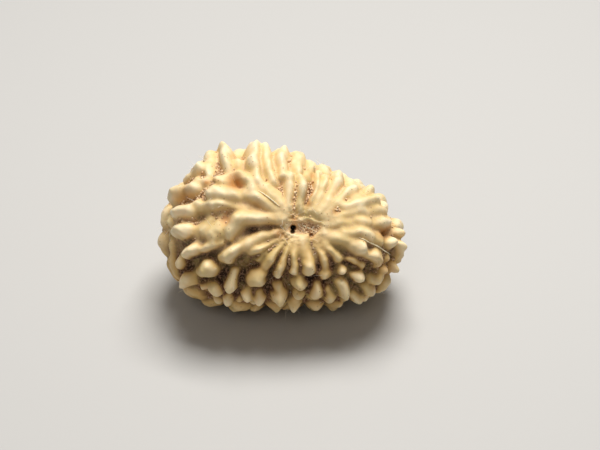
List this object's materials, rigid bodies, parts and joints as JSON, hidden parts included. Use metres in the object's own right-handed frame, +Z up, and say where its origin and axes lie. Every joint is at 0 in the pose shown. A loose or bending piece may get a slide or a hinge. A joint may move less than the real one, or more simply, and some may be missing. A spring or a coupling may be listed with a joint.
{
  "type": "rudraksha seed",
  "caption": "Oval stone of a rudraksha fruit, with knobbly ribs that run out from a small slot at its pole, lying on its side.",
  "frame": {"origin": "centre of the bounding box in plan, on the surface that the seed rests on", "axes": "+X along the long axis of the seed, +Z up; the pole with the slot faces -Y and up, 38 degrees above level"},
  "size_m": [0.035, 0.0256, 0.0249],
  "materials": {
    "dry_stone": "smooth dry ribs, rough in the crevices"
  },
  "bodies": {
    "root": {"seed": "dry_stone"}
  },
  "joints": []
}
